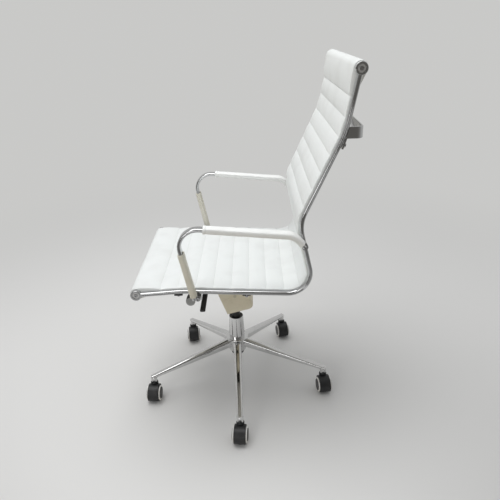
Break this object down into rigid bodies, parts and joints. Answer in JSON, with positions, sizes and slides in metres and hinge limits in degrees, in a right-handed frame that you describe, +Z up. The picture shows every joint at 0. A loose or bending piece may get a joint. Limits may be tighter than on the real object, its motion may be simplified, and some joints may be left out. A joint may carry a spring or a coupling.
{
  "type": "swivel office chair",
  "caption": "High-back swivel office chair with a ribbed sling seat and back on chrome side rails, loop armrests, tilt mechanism, gas lift and a star base on castors.",
  "frame": {"origin": "on the swivel axis at floor level", "axes": "+Z up, the sitter faces -Y, +X is the sitter's left"},
  "size_m": [0.6221, 0.6606, 1.0785],
  "materials": {
    "sling_leatherette": "soft satin, sewn ribs",
    "sleeve_leatherette": "soft satin, stitched hem",
    "frame_chrome": "polished plate",
    "base_chrome": "polished plate",
    "black_steel": "satin black",
    "shroud_plastic": "fine parallel lines",
    "castor_plastic": "satin",
    "castor_ring": "gloss",
    "black_plastic": "fine grain",
    "knob_cap": "satin",
    "torsion_rubber": "moulded",
    "bolt_steel": "blackened",
    "shroud_screw": "painted to match the cover",
    "plug_chrome": "plated",
    "bright_steel": "ground"
  },
  "bodies": {
    "base": {"base_star": "base_chrome", "castor_stems": "bright_steel", "lift_outer_tube": "black_steel", "lift_guide_bush": "black_plastic", "lift_cover": "base_chrome", "lift_thrust_bearing": "bright_steel"},
    "lift_rod": {"lift_piston_rod": "bright_steel", "lift_retaining_clip": "bright_steel"},
    "lift_column": {"lift_cylinder": "black_steel", "tilt_box": "black_steel", "tilt_pivot_shaft": "bright_steel", "tilt_torsion_sleeve": "torsion_rubber", "tilt_shroud": "shroud_plastic", "tilt_shroud_screws": "shroud_screw", "lift_lever_pin": "bright_steel"},
    "release_pin": {"lift_release_pin": "bright_steel"},
    "lift_lever": {"lift_lever": "black_steel", "lift_lever_paddle": "black_plastic"},
    "tension_knob": {"tension_knob": "black_plastic", "tension_knob_cap": "knob_cap"},
    "seat": {"tilt_seat_plate": "black_steel", "tilt_plate_bolts": "bolt_steel", "seat_spreader_front": "black_steel", "seat_spreader_rear": "black_steel", "side_rail_left": "frame_chrome", "side_rail_right": "frame_chrome", "seat_front_tube": "frame_chrome", "back_top_tube": "frame_chrome", "tube_plugs": "plug_chrome", "tube_plug_screws": "bolt_steel", "back_grab_bar": "frame_chrome", "frame_bolts": "bolt_steel", "arm_strap_left": "frame_chrome", "arm_strap_right": "frame_chrome", "arm_top_sleeve_left": "sleeve_leatherette", "arm_top_sleeve_right": "sleeve_leatherette", "arm_front_sleeve_left": "sleeve_leatherette", "arm_front_sleeve_right": "sleeve_leatherette", "sling": "sling_leatherette"},
    "castor_1": {"castor_1_hood": "castor_plastic"},
    "castor_1_wheels": {"castor_1_axle": "bright_steel", "castor_1_wheels": "castor_plastic", "castor_1_rings": "castor_ring"},
    "castor_2": {"castor_2_hood": "castor_plastic"},
    "castor_2_wheels": {"castor_2_axle": "bright_steel", "castor_2_wheels": "castor_plastic", "castor_2_rings": "castor_ring"},
    "castor_3": {"castor_3_hood": "castor_plastic"},
    "castor_3_wheels": {"castor_3_axle": "bright_steel", "castor_3_wheels": "castor_plastic", "castor_3_rings": "castor_ring"},
    "castor_4": {"castor_4_hood": "castor_plastic"},
    "castor_4_wheels": {"castor_4_axle": "bright_steel", "castor_4_wheels": "castor_plastic", "castor_4_rings": "castor_ring"},
    "castor_5": {"castor_5_hood": "castor_plastic"},
    "castor_5_wheels": {"castor_5_axle": "bright_steel", "castor_5_wheels": "castor_plastic", "castor_5_rings": "castor_ring"}
  },
  "joints": [
    {"name": "seat_swivel", "type": "hinge", "parent": "base", "child": "lift_rod", "pos_m": [0, 0, 0.1], "axis": [0, 0, 1], "continuous": true},
    {"name": "lift_height", "type": "slide", "parent": "lift_rod", "child": "lift_column", "axis": [0, 0, 1], "range_m": [0, 0.085]},
    {"name": "seat_tilt", "type": "hinge", "parent": "lift_column", "child": "seat", "pos_m": [0, -0.127, 0.404], "axis": [-1, 0, 0], "range_deg": [0, 12], "stiffness_Nm_per_rad": 150, "springref_deg": -22.92},
    {"name": "lever_lift", "type": "hinge", "parent": "lift_column", "child": "lift_lever", "pos_m": [0.047, -0.086, 0.404], "axis": [0, -1, 0], "range_deg": [0, 6], "stiffness_Nm_per_rad": 4, "springref_deg": -6.88},
    {"name": "release_press", "type": "slide", "parent": "lift_column", "child": "release_pin", "axis": [0, 0, 1], "range_m": [-0.005, 0]},
    {"name": "tension_turn", "type": "hinge", "parent": "lift_column", "child": "tension_knob", "pos_m": [0, -0.127, 0.404], "axis": [1, 0, 0], "continuous": true},
    {"name": "castor_1_swivel", "type": "hinge", "parent": "base", "child": "castor_1", "pos_m": [0.30278, 0.01163, 0.055], "axis": [0, 0, 1], "continuous": true},
    {"name": "castor_1_roll", "type": "hinge", "parent": "castor_1", "child": "castor_1_wheels", "pos_m": [0.31872, 0.01024, 0.027], "axis": [0.0872, 0.9962, 0], "continuous": true},
    {"name": "castor_2_swivel", "type": "hinge", "parent": "base", "child": "castor_2", "pos_m": [0.0825, 0.29155, 0.055], "axis": [0, 0, 1], "continuous": true},
    {"name": "castor_2_roll", "type": "hinge", "parent": "castor_2", "child": "castor_2_wheels", "pos_m": [0.09835, 0.29378, 0.027], "axis": [-0.1392, 0.9903, 0], "continuous": true},
    {"name": "castor_3_swivel", "type": "hinge", "parent": "base", "child": "castor_3", "pos_m": [-0.25179, 0.16856, 0.055], "axis": [0, 0, 1], "continuous": true},
    {"name": "castor_3_roll", "type": "hinge", "parent": "castor_3", "child": "castor_3_wheels", "pos_m": [-0.23608, 0.17161, 0.027], "axis": [-0.1908, 0.9816, 0], "continuous": true},
    {"name": "castor_4_swivel", "type": "hinge", "parent": "base", "child": "castor_4", "pos_m": [-0.23811, -0.18738, 0.055], "axis": [0, 0, 1], "continuous": true},
    {"name": "castor_4_roll", "type": "hinge", "parent": "castor_4", "child": "castor_4_wheels", "pos_m": [-0.22227, -0.18515, 0.027], "axis": [-0.1392, 0.9903, 0], "continuous": true},
    {"name": "castor_5_swivel", "type": "hinge", "parent": "base", "child": "castor_5", "pos_m": [0.10462, -0.28436, 0.055], "axis": [0, 0, 1], "continuous": true},
    {"name": "castor_5_roll", "type": "hinge", "parent": "castor_5", "child": "castor_5_wheels", "pos_m": [0.1206, -0.2852, 0.027], "axis": [0.0523, 0.9986, 0], "continuous": true}
  ],
  "couplings": [
    {"joint": "release_press", "follows": "lever_lift", "m_per_rad": -0.046}
  ]
}
